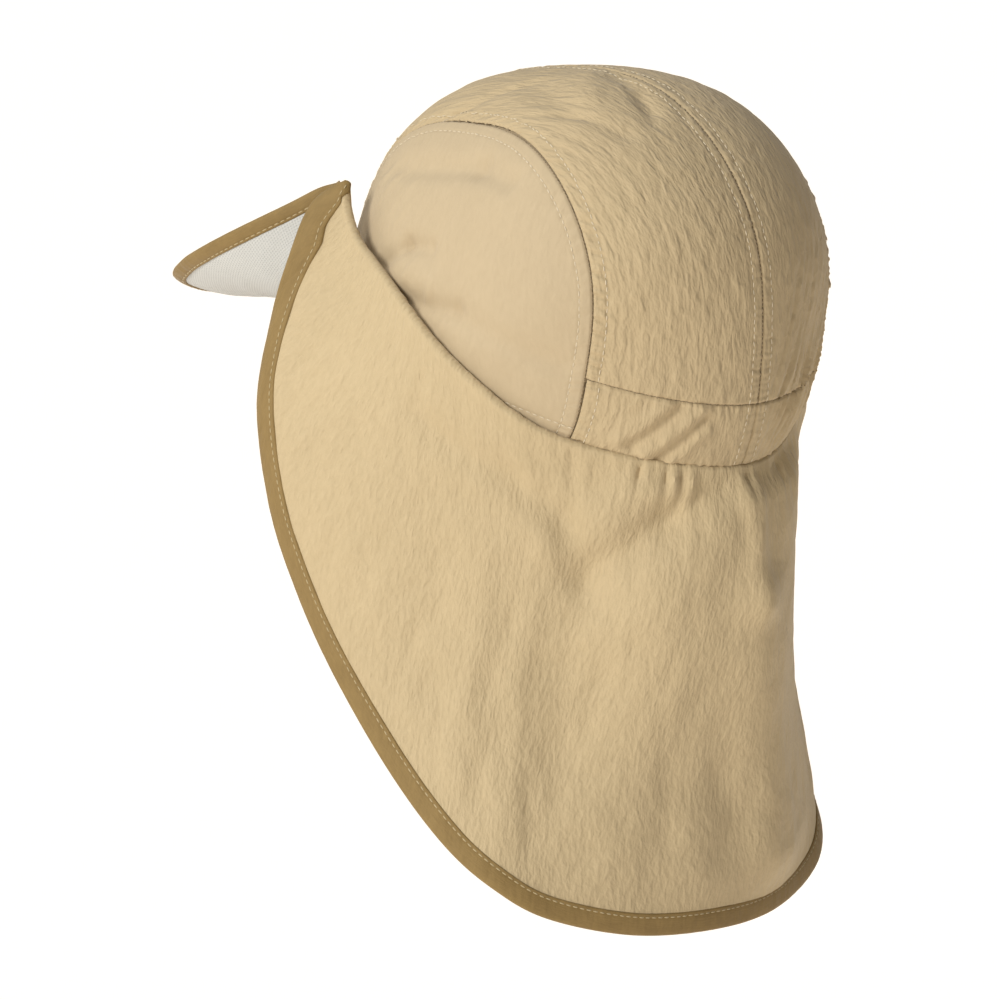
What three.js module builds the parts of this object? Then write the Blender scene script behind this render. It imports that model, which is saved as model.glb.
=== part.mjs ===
import * as THREE from 'three';

// Driving sizes of the hat, in millimetres and degrees.
const HEAD_HALF_WIDTH = 86.3;
const CROWN_DEPTH = 112.5;
const TILT = 23.3;
const FRONT_DROP = 22;
const FRONT_DROP_START = 100;
const BAND_HEIGHT = 26;
const CREASE_DEPTH = 1.4;
const FLAP_DROP = 220;
const FLAP_END = 129;
const FOLD_HEIGHT = 3;
const RIDGE_RISE = 49;
const RIDGE_FORWARD = 5;
const RIDGE_STAND = 3.2;
const ROLL_RADIUS = 2.8;
const VISOR_HALF_WIDTH = 86;
const VISOR_REACH = 178;
const RIM_RISE = 66;
const VISOR_LEAVE = 20;
const VISOR_SAG = 12;
const BINDING_WIDTH = 7;

// Cloth thickness and the clearance that pieces keep from each other.
const CLOTH = 1.1;
const CROWN_WALL = 1.5;
const SEAM_GAP = 0.4;
const LAYER_GAP = 0.4;
const BINDING_GAP = 0.7;

// Where the flap and the visor start: below the crown's edge, and tucked in under it.
const SEAM_DROP = 1.2;
const TUCK = 2.2;
const ROOT_LEAN = 0.9;
const VISOR_DROP = 3.8;

// How finely each surface is divided.
const CROWN_STEPS = 24;
const SIDE_COLUMNS = 8;
const CENTRE_COLUMNS = 6;
const BAND_ROWS = 3;
const BAND_COLUMNS = 12;
const RISER_ROWS = 3;
const ROLL_ROWS = 4;
const FALL_ROWS = 8;
const FLAP_STEPS = 2;
const VISOR_STEPS = 2;
const VISOR_ROWS = 7;

// The binding's outer edge, narrowed to this share of its thickness, the step of a row at which the hem's
// direction is read, the least slant of the cloth to it, the most of a short fall that the binding takes,
// and the binding's two sides that face the cloth.
const RIM_TAPER = 0.8;
const HEM_STEP = 0.1;
const LEAST_SLANT = 0.4;
const MOST_BOUND = 0.5;
const INWARD_SIDES = [2, 6];

// Colours of the cloths.
const SAND = 0xd8c29c;
const OLIVE = 0x8d7547;
const OFF_WHITE = 0xe3dfd4;

// The crown's profile over the head, from the back seam at turn 0 to the front seam at turn 180:
// reach as a share of the depth, fullness as the section's exponent, strip as a share of the half width.
const PROFILE = [
  { turn: 0, reach: 0.798, fullness: 1.79, strip: 0.731 },
  { turn: 30, reach: 0.836, fullness: 1.93, strip: 0.736 },
  { turn: 60, reach: 0.949, fullness: 2.27, strip: 0.738 },
  { turn: 90, reach: 1.0, fullness: 2.44, strip: 0.695 },
  { turn: 120, reach: 0.993, fullness: 2.18, strip: 0.583 },
  { turn: 150, reach: 1.05, fullness: 2.18, strip: 0.525 },
  { turn: 180, reach: 0.967, fullness: 1.93, strip: 0.465 },
];

// Soft creases of the side panels, each a line from start to end in the hat's side view (back, up),
// in shares of the crown's depth, with its depth as a share of the deepest crease.
const CREASES = [
  { start: [-0.71, 0.42], end: [-0.24, 0.68], width: 0.07, depth: 1 },
  { start: [-0.24, 0.68], end: [-0.07, 0.71], width: 0.06, depth: 0.7 },
  { start: [-0.39, 0.27], end: [-0.18, 0.37], width: 0.06, depth: 0.7 },
  { start: [-0.27, 0.2], end: [0.07, 0.3], width: 0.09, depth: 0.6 },
  { start: [0.07, 0.3], end: [0.41, 0.25], width: 0.08, depth: 0.6 },
];
const CREASE_FADE = [0.6, 0.8];

// The flap's ridge, a row per section from the centre back to the flap's front corner: around in degrees
// from the back, over as how far the cloth doubles back over the seam, stand as its distance from the crown
// there, rise and forward as the ridge's place from the seam, and roll as its radius, all in shares of the
// ridge's sizes.
const RIDGE = [
  { around: 0, over: 0, stand: -0.19, rise: 0, forward: 0, roll: 0.46 },
  { around: 15, over: 0, stand: -0.19, rise: 0, forward: 0, roll: 0.46 },
  { around: 30, over: 0, stand: -0.19, rise: 0, forward: 0, roll: 0.46 },
  { around: 45, over: 0.1, stand: -0.06, rise: 0, forward: 0, roll: 0.5 },
  { around: 60, over: 0.8, stand: 0.94, rise: 0.051, forward: 0, roll: 0.71 },
  { around: 75, over: 1, stand: 1, rise: 0.184, forward: 0, roll: 0.93 },
  { around: 90, over: 1, stand: 0.75, rise: 0.327, forward: 0, roll: 1 },
  { around: 99, over: 1, stand: 0.625, rise: 0.408, forward: 0, roll: 1 },
  { around: 107, over: 1, stand: 0.625, rise: 0.49, forward: 0.2, roll: 1 },
  { around: 114, over: 1, stand: 0.625, rise: 0.571, forward: 0.5, roll: 0.93 },
  { around: 120, over: 1, stand: 0.625, rise: 0.653, forward: 0.88, roll: 0.86 },
  { around: 124, over: 1, stand: 0.625, rise: 0.776, forward: 1, roll: 0.79 },
  { around: 127, over: 1, stand: 0.625, rise: 0.918, forward: 1, roll: 0.71 },
  { around: FLAP_END, over: 1, stand: 0.47, rise: 1, forward: 0.8, roll: 0.64 },
];

// The flap's hem, a row for each row of the ridge: its place as shares of the half width, the back reach and
// the drop, and flare as how far the fall swings out on its way there.
const HEM = [
  { across: 0, back: 0.735, up: -1, flare: 0 },
  { across: 0.44, back: 0.675, up: -0.991, flare: 0 },
  { across: 0.83, back: 0.54, up: -0.95, flare: -0.2 },
  { across: 1.03, back: 0.41, up: -0.896, flare: -0.33 },
  { across: 1.14, back: 0.21, up: -0.822, flare: -0.3 },
  { across: 1.215, back: -0.056, up: -0.7, flare: -0.2 },
  { across: 1.282, back: -0.348, up: -0.533, flare: 0 },
  { across: 1.317, back: -0.549, up: -0.389, flare: 0.08 },
  { across: 1.327, back: -0.699, up: -0.25, flare: 0.1 },
  { across: 1.28, back: -0.822, up: -0.079, flare: 0.1 },
  { across: 1.178, back: -0.843, up: 0.063, flare: 0.1 },
  { across: 1.104, back: -0.804, up: 0.174, flare: 0.1 },
  { across: 0.97, back: -0.801, up: 0.263, flare: 0.1 },
  { across: 0.825, back: -0.752, up: 0.302, flare: 0.1 },
];

// Drape folds of the flap, each a soft ridge between two places given as (degrees around, percent of the
// fall), with its height as a share of the tallest fold.
const FOLDS = [
  { start: [38, 5], end: [10, 40], width: 9, height: -1 },
  { start: [26, 10], end: [-4, 45], width: 8, height: 0.73 },
  { start: [70, 15], end: [40, 55], width: 9, height: -0.73 },
  { start: [62, 30], end: [52, 95], width: 7, height: 0.83 },
  { start: [-20, 10], end: [-30, 70], width: 8, height: 0.73 },
  { start: [-60, 20], end: [-50, 95], width: 7, height: 0.83 },
  { start: [14, 70], end: [22, 100], width: 6, height: -0.67 },
];
const FOLD_START = [0, 25];
const FOLD_STOP = [75, 95];

// The visor, a row per section from its corner to the centre front: the rim's place as shares of the visor's
// half width, its reach and the rim's rise, then how far it leaves the crown outward and how far it sags.
const VISOR = [
  { around: 133, across: 0.76, front: 0.426, up: 0.992, leave: 0.35, drop: 1, sag: 0 },
  { around: 137, across: 0.802, front: 0.463, up: 0.955, leave: 0.4, drop: 1, sag: 0.25 },
  { around: 141, across: 0.86, front: 0.522, up: 0.862, leave: 0.5, drop: 0.9, sag: 0.58 },
  { around: 146, across: 0.93, front: 0.597, up: 0.748, leave: 0.6, drop: 0.7, sag: 0.83 },
  { around: 151, across: 0.977, front: 0.677, up: 0.632, leave: 0.7, drop: 0.5, sag: 0.95 },
  { around: 156, across: 0.977, front: 0.758, up: 0.524, leave: 0.8, drop: 0.39, sag: 1 },
  { around: 161, across: 0.93, front: 0.841, up: 0.418, leave: 0.9, drop: 0.39, sag: 1 },
  { around: 166, across: 0.814, front: 0.921, up: 0.297, leave: 1, drop: 0.39, sag: 0.9 },
  { around: 173, across: 0.5, front: 0.97, up: 0.182, leave: 1, drop: 0.39, sag: 0.7 },
  { around: 180, across: 0, front: 1, up: 0.121, leave: 1, drop: 0.39, sag: 0.58 },
];

const BACK_REACH = CROWN_DEPTH * PROFILE[0].reach;

function radians(degrees) {
  return THREE.MathUtils.degToRad(degrees);
}

// A smooth value of one column of a table at a given place along its key column.
function blend(table, key, at, column) {
  const last = table.length - 1;
  let row = 0;
  while (row < last - 1 && table[row + 1][key] < at) {
    row += 1;
  }
  const slope = (k) => {
    const before = table[Math.max(k - 1, 0)];
    const after = table[Math.min(k + 1, last)];
    return (after[column] - before[column]) / (after[key] - before[key]);
  };
  const span = table[row + 1][key] - table[row][key];
  const s = THREE.MathUtils.clamp((at - table[row][key]) / span, 0, 1);
  const stay = (1 + 2 * s) * (1 - s) * (1 - s);
  const leave = s * (1 - s) * (1 - s) * span * slope(row);
  const arrive = s * s * (s - 1) * span * slope(row + 1);
  return stay * table[row][column] + leave + (1 - stay) * table[row + 1][column] + arrive;
}

// A whole row of a table at a part-way row number.
function rowAt(table, number) {
  const numbered = table.map((row, k) => ({ number: k, ...row }));
  const columns = Object.keys(table[0]);
  return Object.fromEntries(columns.map((column) => [column, blend(numbered, 'number', number, column)]));
}

// Share of a soft ridge's height at a place in a flat map, for a ridge that runs from start to end.
function ridgeShare(place, start, end, width) {
  const from = new THREE.Vector2(...start);
  const along = new THREE.Vector2(...end).sub(from);
  const offset = place.clone().sub(from);
  const share = THREE.MathUtils.clamp(offset.dot(along) / along.lengthSq(), 0, 1);
  const distance = offset.distanceTo(along.multiplyScalar(share));
  return Math.exp(-((distance / width) ** 2));
}

// How far the side panels' creases sink at a place of the crown.
function creaseDepth(point) {
  const place = new THREE.Vector2(point.y, point.z).divideScalar(CROWN_DEPTH);
  const sideways = THREE.MathUtils.smoothstep(Math.abs(point.x) / HEAD_HALF_WIDTH, ...CREASE_FADE);
  let depth = 0;
  for (const crease of CREASES) {
    depth += CREASE_DEPTH * crease.depth * ridgeShare(place, crease.start, crease.end, crease.width);
  }
  return depth * sideways;
}

// A point of the crown in the hat's own frame, across the head and turned over it from the back.
function crownPoint(across, turn, inset) {
  const share = Math.min(Math.abs(across) / HEAD_HALF_WIDTH, 1);
  const fullness = blend(PROFILE, 'turn', turn, 'fullness');
  const reach = CROWN_DEPTH * blend(PROFILE, 'turn', turn, 'reach') - inset;
  const fall = (1 - share ** fullness) ** (1 / fullness);
  const side = Math.sign(across) * share * (HEAD_HALF_WIDTH - inset);
  const angle = radians(turn);
  const point = new THREE.Vector3(side, reach * fall * Math.cos(angle), reach * fall * Math.sin(angle));
  point.z -= frontDrop(point) * (1 - Math.max(point.z, 0) / CROWN_DEPTH) ** 2;
  return point.multiplyScalar(1 - creaseDepth(point) / CROWN_DEPTH);
}

// How far the lower edge is carried down below the back's level, growing from the temples to the front.
function frontDrop(point) {
  const around = THREE.MathUtils.radToDeg(Math.atan2(Math.abs(point.x), point.y));
  return FRONT_DROP * THREE.MathUtils.smoothstep(around, FRONT_DROP_START, 180);
}

// A point of the crown's lower edge, in the hat's own frame, by its angle around the head from the back.
function edgePoint(around, inset) {
  const back = Math.abs(around) <= 90;
  const end = back ? PROFILE[0] : PROFILE[PROFILE.length - 1];
  const reach = CROWN_DEPTH * end.reach - inset;
  const sine = Math.abs(Math.sin(radians(around))) / (HEAD_HALF_WIDTH - inset);
  const cosine = Math.abs(Math.cos(radians(around))) / reach;
  const radius = (sine ** end.fullness + cosine ** end.fullness) ** (-1 / end.fullness);
  const point = new THREE.Vector3(
    radius * Math.sin(radians(around)),
    radius * Math.cos(radians(around)),
    0,
  );
  point.z -= frontDrop(point);
  return point;
}

// The hat's own frame turned back by the tilt into the upright frame.
function tilted(point) {
  return point.clone().applyAxisAngle(new THREE.Vector3(1, 0, 0), -radians(TILT));
}

// A closed sheet between two grids of points, numbered by row and column.
function thickSheet(outer, inner) {
  const rows = outer.length - 1;
  const columns = outer[0].length - 1;
  const positions = [];
  const triangle = (a, b, c) => {
    const flat = a.distanceTo(b) < 1e-4 || b.distanceTo(c) < 1e-4 || c.distanceTo(a) < 1e-4;
    if (!flat) {
      positions.push(...a.toArray(), ...b.toArray(), ...c.toArray());
    }
  };
  const quad = (a, b, c, d) => {
    triangle(a, b, c);
    triangle(a, c, d);
  };
  for (let i = 0; i < rows; i += 1) {
    for (let j = 0; j < columns; j += 1) {
      quad(outer[i][j], outer[i + 1][j], outer[i + 1][j + 1], outer[i][j + 1]);
      quad(inner[i][j], inner[i][j + 1], inner[i + 1][j + 1], inner[i + 1][j]);
    }
    quad(outer[i + 1][0], outer[i][0], inner[i][0], inner[i + 1][0]);
    quad(outer[i][columns], outer[i + 1][columns], inner[i + 1][columns], inner[i][columns]);
  }
  for (let j = 0; j < columns; j += 1) {
    quad(outer[0][j], outer[0][j + 1], inner[0][j + 1], inner[0][j]);
    quad(outer[rows][j + 1], outer[rows][j], inner[rows][j], inner[rows][j + 1]);
  }
  return facesOut(positions);
}

// A geometry from loose triangles, turned inside out where its volume comes out negative.
function facesOut(positions) {
  let volume = 0;
  const [a, b, c] = [new THREE.Vector3(), new THREE.Vector3(), new THREE.Vector3()];
  for (let k = 0; k < positions.length; k += 9) {
    b.fromArray(positions, k + 3).cross(c.fromArray(positions, k + 6));
    volume += a.fromArray(positions, k).dot(b);
  }
  const ordered = [...positions];
  if (volume < 0) {
    for (let k = 0; k < ordered.length; k += 9) {
      const second = ordered.slice(k + 3, k + 6);
      ordered.splice(k + 3, 3, ...ordered.slice(k + 6, k + 9));
      ordered.splice(k + 6, 3, ...second);
    }
  }
  const geometry = new THREE.BufferGeometry();
  geometry.setAttribute('position', new THREE.Float32BufferAttribute(ordered, 3));
  geometry.computeVertexNormals();
  return geometry;
}

// A grid of points from a function of two shares that run from 0 to 1.
function pointGrid(rows, columns, place) {
  return Array.from({ length: rows + 1 }, (_, i) =>
    Array.from({ length: columns + 1 }, (__, j) => place(i / rows, j / columns)),
  );
}

// The surface direction at each point of a grid.
function gridNormals(grid) {
  const rows = grid.length - 1;
  const columns = grid[0].length - 1;
  return grid.map((line, i) =>
    line.map((_, j) => {
      const down = grid[Math.min(i + 1, rows)][j].clone().sub(grid[Math.max(i - 1, 0)][j]);
      const along = grid[i][Math.min(j + 1, columns)].clone().sub(grid[i][Math.max(j - 1, 0)]);
      return down.cross(along).normalize();
    }),
  );
}

// A grid moved along its surface directions.
function offsetGrid(grid, normals, distance) {
  return grid.map((line, i) =>
    line.map((point, j) => point.clone().addScaledVector(normals[i][j], distance)),
  );
}

function crownSheet(rows, columns, place) {
  const outer = pointGrid(rows, columns, (i, j) => crownPoint(...place(i, j), 0));
  const inner = pointGrid(rows, columns, (i, j) => crownPoint(...place(i, j), CROWN_WALL));
  return thickSheet(outer, inner);
}

function stripEdge(turn) {
  return HEAD_HALF_WIDTH * blend(PROFILE, 'turn', turn, 'strip');
}

// The turn at which the crown reaches the back band's top, found by halving.
function bandTurn(across, height) {
  let low = 0;
  let high = 60;
  for (let step = 0; step < 30; step += 1) {
    const middle = (low + high) / 2;
    if (crownPoint(across, middle, 0).z < height) {
      low = middle;
    } else {
      high = middle;
    }
  }
  return low;
}

function sidePanel(side) {
  return crownSheet(CROWN_STEPS, SIDE_COLUMNS, (i, j) => {
    const turn = 180 * i;
    const start = Math.asin((stripEdge(turn) + SEAM_GAP / 2) / HEAD_HALF_WIDTH);
    return [side * HEAD_HALF_WIDTH * Math.sin(THREE.MathUtils.lerp(start, Math.PI / 2, j)), turn];
  });
}

function centrePanel(side) {
  return crownSheet(CROWN_STEPS, CENTRE_COLUMNS, (i, j) => {
    const edge = stripEdge(THREE.MathUtils.lerp(bandTurn(stripEdge(0), BAND_HEIGHT), 180, i)) - SEAM_GAP / 2;
    const across = THREE.MathUtils.lerp(SEAM_GAP / 2, edge, j);
    return [side * across, THREE.MathUtils.lerp(bandTurn(across, BAND_HEIGHT + SEAM_GAP / 2), 180, i)];
  });
}

function backBand(side) {
  return crownSheet(BAND_ROWS, BAND_COLUMNS, (i, j) => {
    const across = THREE.MathUtils.lerp(SEAM_GAP / 2, stripEdge(0) - SEAM_GAP / 2, j);
    return [side * across, bandTurn(across, BAND_HEIGHT - SEAM_GAP / 2) * i];
  });
}

// One section of the flap's middle surface: out under the crown's edge, up the crown, over a roll, down to
// the hem.
function flapSection(number) {
  const side = Math.sign(number) || 1;
  const ridge = rowAt(RIDGE, Math.abs(number));
  const place = seamPlace(side * ridge.around);
  const points = [place(-TUCK - ridge.over, -SEAM_DROP, 0, 0)];
  const stand = RIDGE_STAND * ridge.stand;
  const rise = RIDGE_RISE * ridge.rise;
  const forward = RIDGE_FORWARD * ridge.forward;
  const radius = ROLL_RADIUS * ridge.roll;
  const rootAway = stand - (1 - ridge.over) * ROOT_LEAN;
  for (let k = 0; k <= RISER_ROWS; k += 1) {
    const share = k / RISER_ROWS;
    const away = THREE.MathUtils.lerp(rootAway, stand, share);
    points.push(place(away, -SEAM_DROP, rise * share, forward * share));
  }
  const start = radians(90 * (1 + ridge.over));
  const centreAway = stand - radius * Math.cos(start);
  const centreUp = rise - radius * Math.sin(start);
  for (let k = 1; k <= ROLL_ROWS; k += 1) {
    const angle = start * (1 - k / ROLL_ROWS);
    const away = centreAway + radius * Math.cos(angle);
    points.push(place(away, -SEAM_DROP, centreUp + radius * Math.sin(angle), forward));
  }
  return [...points, ...fallPoints(points[points.length - 1], side, Math.abs(number), place)];
}

// The fall of one section, from the top of the roll to the hem, with its last stretch under the binding.
function fallPoints(top, side, number, place) {
  const row = rowAt(HEM, number);
  const hem = hemPoint(side, row);
  const before = hemPoint(side, rowAt(HEM, Math.max(number - HEM_STEP, 0)));
  const hemWay = hemPoint(side, rowAt(HEM, number + HEM_STEP)).sub(before).normalize();
  const back = top.clone().sub(hem).normalize();
  hem.addScaledVector(back, (BINDING_GAP + CLOTH) / slantTo(hemWay, back));
  const fall = hem.clone().sub(top);
  const swing = place(fall.length(), 0, 0, 0).sub(place(0, 0, 0, 0)).multiplyScalar(row.flare);
  const drop = new THREE.Vector3(0, 0, -fall.length()).lerp(fall, 0.5);
  const leave = drop.clone().add(swing).divideScalar(3);
  const arrive = drop.clone().sub(swing).divideScalar(3);
  const curve = new THREE.CubicBezierCurve3(top, top.clone().add(leave), hem.clone().sub(arrive), hem);
  const length = curve.getLength() * slantTo(hemWay, curve.getTangent(1));
  const bound = Math.min(BINDING_WIDTH / length, MOST_BOUND);
  const points = [];
  for (let k = 1; k <= FALL_ROWS; k += 1) {
    points.push(curve.getPointAt((1 - bound) * (k / FALL_ROWS)));
  }
  return [...points, hem];
}

// How squarely the cloth's direction meets the hem's, from 1 where it is square to it.
function slantTo(hemWay, way) {
  return Math.max(way.clone().cross(hemWay).length(), LEAST_SLANT);
}

// The hem's place in a row of the table.
function hemPoint(side, row) {
  return new THREE.Vector3(
    side * HEAD_HALF_WIDTH * row.across,
    BACK_REACH * row.back,
    FLAP_DROP * row.up,
  );
}

// A function that gives places near the crown's lower edge at an angle around the head: away from the crown
// and up it in the hat's own frame, then risen and forward in the upright frame.
function seamPlace(around) {
  const hatUp = tilted(new THREE.Vector3(0, 0, 1));
  const edge = tilted(edgePoint(around, 0));
  const out = tilted(edgePoint(around, -1)).sub(edge).normalize();
  return (away, up, risen, forward) =>
    edge
      .clone()
      .addScaledVector(out, away)
      .addScaledVector(hatUp, up)
      .add(new THREE.Vector3(0, -forward, risen));
}

function flapGrid() {
  const half = (RIDGE.length - 1) * FLAP_STEPS;
  const grid = Array.from({ length: 2 * half + 1 }, (_, k) => flapSection((k - half) / FLAP_STEPS));
  const normals = gridNormals(grid);
  const firstFall = 1 + RISER_ROWS + ROLL_ROWS;
  return grid.map((line, i) => {
    const number = (i - half) / FLAP_STEPS;
    const around = Math.sign(number) * rowAt(RIDGE, Math.abs(number)).around;
    return line.map((point, j) => {
      const down = 100 * Math.max((j - firstFall) / (FALL_ROWS + 1), 0);
      return point.clone().addScaledVector(normals[i][j], foldLift(around, down));
    });
  });
}

// How far the flap's folds lift its cloth at an angle around the head and a percentage down its fall.
function foldLift(around, down) {
  const place = new THREE.Vector2(around, down);
  const { smoothstep } = THREE.MathUtils;
  let lift = 0;
  for (const fold of FOLDS) {
    lift += FOLD_HEIGHT * fold.height * ridgeShare(place, fold.start, fold.end, fold.width);
  }
  return lift * smoothstep(down, ...FOLD_START) * (1 - smoothstep(down, ...FOLD_STOP));
}

function sheetFromMiddle(grid, thickness, shift) {
  const normals = gridNormals(grid);
  return thickSheet(
    offsetGrid(grid, normals, shift + thickness / 2),
    offsetGrid(grid, normals, shift - thickness / 2),
  );
}

// A folded strip round the edge of a sheet, whose last two columns of points are the strip's inner and
// outer line.
function bindingAround(grid, halfSheet) {
  const normals = gridNormals(grid);
  const last = grid[0].length - 1;
  const near = halfSheet + BINDING_GAP;
  const far = near + CLOTH;
  const sections = grid.map((line, i) => {
    const [rim, root] = [line[last], line[last - 1]];
    const [rimNormal, rootNormal] = [normals[i][last], normals[i][last - 1]];
    const along = grid[Math.min(i + 1, grid.length - 1)][last].clone().sub(grid[Math.max(i - 1, 0)][last]);
    const outward = along.cross(rimNormal).normalize();
    outward.multiplyScalar(Math.sign(outward.dot(rim.clone().sub(root))));
    const corner = (base, away, lift, normal) =>
      base.clone().addScaledVector(outward, away).addScaledVector(normal, lift);
    return [
      corner(root, 0, far, rootNormal),
      corner(rim, BINDING_GAP + CLOTH, far * RIM_TAPER, rimNormal),
      corner(rim, BINDING_GAP + CLOTH, -far * RIM_TAPER, rimNormal),
      corner(root, 0, -far, rootNormal),
      corner(root, 0, -near, rootNormal),
      corner(rim, BINDING_GAP, -near, rimNormal),
      corner(rim, BINDING_GAP, near, rimNormal),
      corner(root, 0, near, rootNormal),
    ];
  });
  return closedSweep(sections);
}

// A closed solid through sections that all have the same eight corners, capped at both ends. Each side
// is split the same way as the sheet that it lies along, so that the two stay parallel.
function closedSweep(sections) {
  const positions = [];
  const corners = sections[0].length;
  const triangle = (a, b, c) => positions.push(...a.toArray(), ...b.toArray(), ...c.toArray());
  for (let i = 0; i + 1 < sections.length; i += 1) {
    for (let k = 0; k < corners; k += 1) {
      const next = (k + 1) % corners;
      const [a, b, c, d] = [sections[i][k], sections[i + 1][k], sections[i + 1][next], sections[i][next]];
      if (INWARD_SIDES.includes(k)) {
        triangle(a, b, d);
        triangle(b, c, d);
      } else {
        triangle(a, b, c);
        triangle(a, c, d);
      }
    }
  }
  for (const [section, turned] of [[sections[0], false], [sections[sections.length - 1], true]]) {
    for (let k = 0; k < corners / 2 - 1; k += 1) {
      const [a, b, c, d] = [section[k], section[k + 1], section[corners - 2 - k], section[corners - 1 - k]];
      if (turned) {
        triangle(a, c, b);
        triangle(a, d, c);
      } else {
        triangle(a, b, c);
        triangle(a, c, d);
      }
    }
  }
  return facesOut(positions);
}

function visorSection(number) {
  const side = Math.sign(number) || 1;
  const row = rowAt(VISOR, VISOR.length - 1 - Math.abs(number));
  const place = seamPlace(side * row.around);
  const drop = -VISOR_DROP * row.drop;
  const start = place(-TUCK, drop, 0, 0);
  const rim = new THREE.Vector3(
    side * VISOR_HALF_WIDTH * row.across,
    -VISOR_REACH * row.front,
    RIM_RISE * row.up,
  );
  rim.addScaledVector(start.clone().sub(rim).normalize(), BINDING_GAP + CLOTH);
  const inward = start.clone().sub(rim).divideScalar(3);
  const sink = new THREE.Vector3(0, 0, -VISOR_SAG * row.sag);
  inward.add(sink);
  const leave = place(VISOR_LEAVE * row.leave, drop, 0, 0).add(sink);
  const curve = new THREE.CubicBezierCurve3(start, leave, rim.clone().add(inward), rim);
  const length = curve.getLength();
  const points = [];
  for (let k = 0; k <= VISOR_ROWS; k += 1) {
    points.push(curve.getPointAt((1 - BINDING_WIDTH / length) * (k / VISOR_ROWS)));
  }
  points.push(rim);
  return points;
}

function visorGrid() {
  const half = (VISOR.length - 1) * VISOR_STEPS;
  return Array.from({ length: 2 * half + 1 }, (_, k) => visorSection((k - half) / VISOR_STEPS));
}

function cloth(colour, roughness) {
  return new THREE.MeshStandardMaterial({ color: colour, roughness, metalness: 0, side: THREE.DoubleSide });
}

const sand = cloth(SAND, 0.8);
const olive = cloth(OLIVE, 0.75);
const offWhite = cloth(OFF_WHITE, 0.9);

function piece(name, geometry, material) {
  const mesh = new THREE.Mesh(geometry, material);
  mesh.name = name;
  return mesh;
}

function crown() {
  const group = new THREE.Group();
  for (const [name, side] of [['left', 1], ['right', -1]]) {
    group.add(piece(`side_panel_${name}`, sidePanel(side), sand));
    group.add(piece(`centre_panel_${name}`, centrePanel(side), sand));
    group.add(piece(`back_band_${name}`, backBand(side), sand));
  }
  group.rotation.x = -radians(TILT);
  return group;
}

function neckFlap() {
  const group = new THREE.Group();
  const grid = flapGrid();
  group.add(piece('neck_flap', sheetFromMiddle(grid, CLOTH, 0), sand));
  group.add(piece('flap_binding', bindingAround(grid, CLOTH / 2), olive));
  return group;
}

function visor() {
  const group = new THREE.Group();
  const grid = visorGrid();
  const shift = (CLOTH + LAYER_GAP) / 2;
  group.add(piece('visor_top', sheetFromMiddle(grid, CLOTH, -shift), sand));
  group.add(piece('visor_lining', sheetFromMiddle(grid, CLOTH, shift), offWhite));
  group.add(piece('visor_binding', bindingAround(grid, CLOTH + LAYER_GAP / 2), olive));
  return group;
}

const hat = new THREE.Group();
hat.add(crown(), neckFlap(), visor());

export default hat;
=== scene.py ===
import math

import bpy
import numpy as np
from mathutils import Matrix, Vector


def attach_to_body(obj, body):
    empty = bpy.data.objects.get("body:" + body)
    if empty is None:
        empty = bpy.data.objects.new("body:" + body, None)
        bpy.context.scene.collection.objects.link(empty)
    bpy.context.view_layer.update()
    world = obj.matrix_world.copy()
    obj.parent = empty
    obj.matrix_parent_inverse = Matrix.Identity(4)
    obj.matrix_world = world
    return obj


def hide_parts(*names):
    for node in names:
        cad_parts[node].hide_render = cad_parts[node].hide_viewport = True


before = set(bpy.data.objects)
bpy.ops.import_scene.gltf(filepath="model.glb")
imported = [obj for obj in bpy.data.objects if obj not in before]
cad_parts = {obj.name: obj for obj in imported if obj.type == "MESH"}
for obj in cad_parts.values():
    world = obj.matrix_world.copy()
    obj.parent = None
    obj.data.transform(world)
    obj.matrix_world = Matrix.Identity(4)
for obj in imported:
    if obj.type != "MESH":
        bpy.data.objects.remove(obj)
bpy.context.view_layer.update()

MM = 0.001


def table(columns, *rows):
    """Rows of values under named columns."""
    return [dict(zip(columns.split(), row)) for row in rows]


# Driving sizes of the hat: a crown over a head, tilted back, with a flap and a visor sewn to its lower edge.
# Places around the head are angles from the centre back, in degrees.
HEAD_HALF_WIDTH = 86.3 * MM
CROWN_DEPTH = 112.5 * MM
TILT = math.radians(23.3)
FRONT_DROP = 22 * MM
FRONT_DROP_START = 100
BAND_HEIGHT = 26 * MM
CREASE_DEPTH = 3.0 * MM
CREASE_FADE = (0.6, 0.8)
FLAP_DROP = 220 * MM
FLAP_END = 129
FOLD_HEIGHT = 3 * MM
RIDGE_RISE = 49 * MM
RIDGE_FORWARD = 5 * MM
RIDGE_STAND = 2.3 * MM
ROLL_RADIUS = 2.3 * MM
VISOR_HALF_WIDTH = 86 * MM
VISOR_REACH = 178 * MM
RIM_RISE = 66 * MM
VISOR_LEAVE = 20 * MM
VISOR_SAG = 15 * MM
VISOR_DROP = 3.8 * MM
BINDING_WIDTH = 7 * MM
VISOR_BINDING_WIDTH = 4.8 * MM
SEAM_DROP = 0.35 * MM
TUCK = 2.2 * MM
RIDGE_TUCK = 1 * MM
ROOT_LEAN = 0.9 * MM
SEAM_GAP = 0.3 * MM

# Thicknesses of the cloths, and how far the binding stands off what it wraps.
CLOTH = 0.8 * MM
VISOR_CLOTH = 0.7 * MM
LINING = 0.6 * MM
LAYER_SHIFT = 0.5 * MM
TAPE = 0.5 * MM
TAPE_GAP = 0.2 * MM
HEM_INSET = 1.8 * MM

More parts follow.
